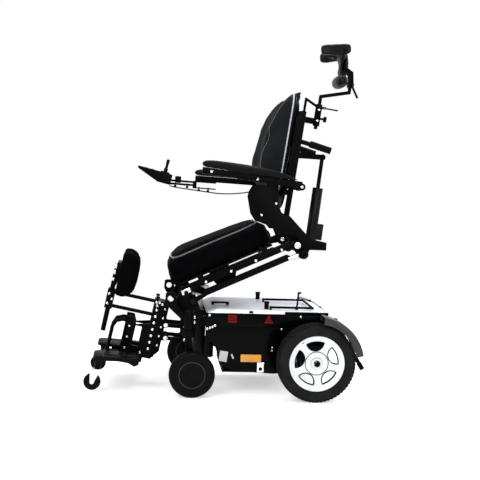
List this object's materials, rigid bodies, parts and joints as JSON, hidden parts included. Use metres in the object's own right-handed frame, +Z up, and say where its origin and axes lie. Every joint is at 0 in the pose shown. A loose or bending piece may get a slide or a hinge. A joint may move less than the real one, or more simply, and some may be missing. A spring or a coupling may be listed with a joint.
{
  "type": "standing wheelchair",
  "caption": "Powered standing wheelchair: drive base, parallelogram seat lift, reclining back, flip-up arms, joystick, headrest, knee pad, raising legrest and folding footplates.",
  "frame": {"origin": "on the floor under the middle of the chair's length and width", "axes": "+Z up, -X forward, -Y to the sitter's left"},
  "size_m": [1.238, 0.67, 1.5691],
  "materials": {
    "frame_black": "satin black powder coat",
    "cell_black": "matte",
    "panel_black": "glossy",
    "cover_pale": "smooth pale blue-white",
    "reflector_red": "ribbed, glossy",
    "motor_grey": "cast, satin",
    "guard_grey": "semi-gloss",
    "bright_steel": "polished",
    "tyre_black": "matte",
    "wheel_white": "glossy white",
    "caster_black": "matte",
    "upholstery": "soft sheen",
    "shell_black": "fine grain",
    "grip_rubber": "matte",
    "actuator_grey": "satin",
    "pod_plastic": "fine grain",
    "button_green": "glossy",
    "button_grey": "glossy",
    "plain_steel": "turned",
    "foot_plastic": "ribbed",
    "tip_white": "glossy white",
    "tip_grey": "matte"
  },
  "bodies": {
    "base": {"chassis_frame": "frame_black", "battery_pack": "cell_black", "side_panels": "panel_black", "top_cover": "cover_pale", "cover_fittings": "frame_black", "reflectors": "reflector_red", "drive_motors": "motor_grey", "mudguards": "guard_grey", "tie_down_brackets": "bright_steel", "rear_anti_tip_bars": "frame_black", "link_bolts": "bright_steel", "lift_actuator": "actuator_grey"},
    "left_drive": {"left_tyre": "tyre_black", "left_wheel_disc": "wheel_white"},
    "right_drive": {"right_tyre": "tyre_black", "right_wheel_disc": "wheel_white"},
    "left_caster": {"left_caster_fork": "frame_black"},
    "left_caster_roller": {"left_caster_wheel": "caster_black"},
    "right_caster": {"right_caster_fork": "frame_black"},
    "right_caster_roller": {"right_caster_wheel": "caster_black"},
    "seat": {"seat_frame": "frame_black", "seat_cushion": "upholstery"},
    "links": {"lower_links": "frame_black"},
    "carrier": {"back_carrier": "frame_black", "carrier_bolts": "bright_steel", "side_guards": "guard_grey"},
    "lift_rod": {"lift_rod": "bright_steel"},
    "back": {"back_frame": "frame_black", "back_shell": "shell_black", "back_cushion": "upholstery", "push_grips": "grip_rubber", "headrest_clamp": "frame_black"},
    "recline_body": {"recline_actuator": "actuator_grey"},
    "recline_rod": {"recline_rod": "frame_black"},
    "left_arm": {"left_arm_frame": "frame_black", "left_arm_pad": "upholstery"},
    "right_arm": {"right_arm_frame": "frame_black", "right_arm_pad": "upholstery", "joystick_mount": "frame_black", "joystick_pod": "pod_plastic", "joystick_cable": "grip_rubber"},
    "power_button": {"power_button": "button_green"},
    "speed_button": {"speed_button": "button_grey"},
    "gimbal": {"stick_gimbal": "plain_steel"},
    "stick": {"joystick_stick": "grip_rubber"},
    "headrest_stem": {"headrest_stem": "bright_steel"},
    "stem_lever": {"stem_lever": "frame_black"},
    "headrest": {"headrest_bracket": "frame_black", "headrest_pad": "upholstery"},
    "leg_upper_links": {"leg_upper_links": "frame_black"},
    "leg_lower_links": {"leg_lower_links": "frame_black"},
    "leg": {"leg_column": "frame_black"},
    "left_foot": {"left_footplate": "foot_plastic"},
    "right_foot": {"right_footplate": "foot_plastic"},
    "left_tip": {"left_tip_fork": "tip_white"},
    "left_tip_roller": {"left_tip_wheel": "tip_grey"},
    "right_tip": {"right_tip_fork": "tip_white"},
    "right_tip_roller": {"right_tip_wheel": "tip_grey"},
    "knee": {"knee_post": "frame_black", "knee_pad": "upholstery"}
  },
  "joints": [
    {"name": "left_drive_spin", "type": "hinge", "parent": "base", "child": "left_drive", "pos_m": [0.375, -0.29, 0.17], "axis": [0, 1, 0], "continuous": true},
    {"name": "left_caster_swivel", "type": "hinge", "parent": "base", "child": "left_caster", "pos_m": [-0.175, -0.25, 0.33], "axis": [0, 0, 1], "continuous": true},
    {"name": "left_caster_spin", "type": "hinge", "parent": "left_caster", "child": "left_caster_roller", "pos_m": [-0.155, -0.25, 0.1], "axis": [0, 1, 0], "continuous": true},
    {"name": "right_drive_spin", "type": "hinge", "parent": "base", "child": "right_drive", "pos_m": [0.375, 0.29, 0.17], "axis": [0, 1, 0], "continuous": true},
    {"name": "right_caster_swivel", "type": "hinge", "parent": "base", "child": "right_caster", "pos_m": [-0.175, 0.25, 0.33], "axis": [0, 0, 1], "continuous": true},
    {"name": "right_caster_spin", "type": "hinge", "parent": "right_caster", "child": "right_caster_roller", "pos_m": [-0.155, 0.25, 0.1], "axis": [0, 1, 0], "continuous": true},
    {"name": "seat_lift", "type": "hinge", "parent": "base", "child": "seat", "pos_m": [-0.19, 0, 0.45], "axis": [0, -1, 0], "range_deg": [-24.7, 45]},
    {"name": "link_turn", "type": "hinge", "parent": "base", "child": "links", "pos_m": [-0.16, 0, 0.412], "axis": [0, -1, 0], "range_deg": [-24.7, 45]},
    {"name": "carrier_turn", "type": "hinge", "parent": "seat", "child": "carrier", "pos_m": [0.28424, 0, 0.66813], "axis": [0, -1, 0], "range_deg": [-45, 24.7]},
    {"name": "lift_rod_slide", "type": "slide", "parent": "base", "child": "lift_rod", "axis": [0, 0, 1], "range_m": [-0.033, 0.06]},
    {"name": "recline", "type": "hinge", "parent": "carrier", "child": "back", "pos_m": [0.23624, 0, 0.77313], "axis": [0, 1, 0], "range_deg": [0, 25]},
    {"name": "recline_body_turn", "type": "hinge", "parent": "carrier", "child": "recline_body", "pos_m": [0.38324, 0, 0.66813], "axis": [0, 1, 0], "range_deg": [0, 21]},
    {"name": "recline_rod_slide", "type": "slide", "parent": "recline_body", "child": "recline_rod", "axis": [0.1002, 0, 0.995], "range_m": [-0.075, 0]},
    {"name": "left_arm_flip", "type": "hinge", "parent": "back", "child": "left_arm", "pos_m": [0.2832, -0.24, 0.92141], "axis": [0, 1, 0], "range_deg": [0, 90]},
    {"name": "right_arm_flip", "type": "hinge", "parent": "back", "child": "right_arm", "pos_m": [0.2832, 0.24, 0.92141], "axis": [0, 1, 0], "range_deg": [0, 90]},
    {"name": "power_button_press", "type": "slide", "parent": "right_arm", "child": "power_button", "axis": [0.225, 0, 0.9744], "range_m": [-0.002, 0], "stiffness_N_per_m": 600},
    {"name": "speed_button_press", "type": "slide", "parent": "right_arm", "child": "speed_button", "axis": [0.225, 0, 0.9744], "range_m": [-0.002, 0], "stiffness_N_per_m": 600},
    {"name": "stick_pitch", "type": "hinge", "parent": "right_arm", "child": "gimbal", "pos_m": [-0.29348, 0.276, 0.95874], "axis": [0, 1, 0], "range_deg": [-18, 18], "stiffness_Nm_per_rad": 0.6},
    {"name": "stick_roll", "type": "hinge", "parent": "gimbal", "child": "stick", "pos_m": [-0.29348, 0.276, 0.95874], "axis": [0.9744, 0, -0.225], "range_deg": [-18, 18], "stiffness_Nm_per_rad": 0.6},
    {"name": "stem_slide", "type": "slide", "parent": "back", "child": "headrest_stem", "axis": [0.1253, 0, 0.9921], "range_m": [-0.03, 0.05]},
    {"name": "lever_turn", "type": "hinge", "parent": "back", "child": "stem_lever", "pos_m": [0.39717, 0, 1.28903], "axis": [0, -1, 0], "range_deg": [0, 40]},
    {"name": "headrest_tilt", "type": "hinge", "parent": "headrest_stem", "child": "headrest", "pos_m": [0.53858, 0, 1.39514], "axis": [0, 1, 0], "range_deg": [-8, 20]},
    {"name": "leg_lift", "type": "hinge", "parent": "base", "child": "leg_upper_links", "pos_m": [-0.182, 0, 0.272], "axis": [0, 1, 0], "range_deg": [0, 20]},
    {"name": "leg_lower_turn", "type": "hinge", "parent": "base", "child": "leg_lower_links", "pos_m": [-0.182, 0, 0.213], "axis": [0, 1, 0], "range_deg": [0, 20]},
    {"name": "leg_turn", "type": "hinge", "parent": "leg_upper_links", "child": "leg", "pos_m": [-0.27, 0, 0.278], "axis": [0, 1, 0], "range_deg": [-20, 0]},
    {"name": "left_foot_flip", "type": "hinge", "parent": "leg", "child": "left_foot", "pos_m": [-0.37185, -0.064, 0.14434], "axis": [-0.9976, 0, 0.0698], "range_deg": [0, 85]},
    {"name": "left_tip_swivel", "type": "hinge", "parent": "leg", "child": "left_tip", "pos_m": [-0.559, -0.19, 0.118], "axis": [0, 0, 1], "continuous": true},
    {"name": "left_tip_spin", "type": "hinge", "parent": "left_tip", "child": "left_tip_roller", "pos_m": [-0.582, -0.19, 0.05], "axis": [0, 1, 0], "continuous": true},
    {"name": "right_foot_flip", "type": "hinge", "parent": "leg", "child": "right_foot", "pos_m": [-0.37185, 0.064, 0.14434], "axis": [0.9976, 0, -0.0698], "range_deg": [0, 85]},
    {"name": "right_tip_swivel", "type": "hinge", "parent": "leg", "child": "right_tip", "pos_m": [-0.559, 0.19, 0.118], "axis": [0, 0, 1], "continuous": true},
    {"name": "right_tip_spin", "type": "hinge", "parent": "right_tip", "child": "right_tip_roller", "pos_m": [-0.582, 0.19, 0.05], "axis": [0, 1, 0], "continuous": true},
    {"name": "knee_slide", "type": "slide", "parent": "leg", "child": "knee", "axis": [0.1908, 0, 0.9816], "range_m": [0, 0.06]}
  ],
  "couplings": [
    {"joint": "link_turn", "follows": "seat_lift", "ratio": 1},
    {"joint": "carrier_turn", "follows": "seat_lift", "ratio": -1},
    {"joint": "lift_rod_slide", "follows": "seat_lift", "m_per_rad": 0.075},
    {"joint": "recline_body_turn", "follows": "recline", "ratio": 0.818},
    {"joint": "recline_rod_slide", "follows": "recline", "m_per_rad": -0.17},
    {"joint": "leg_lower_turn", "follows": "leg_lift", "ratio": 1},
    {"joint": "leg_turn", "follows": "leg_lift", "ratio": -1}
  ]
}
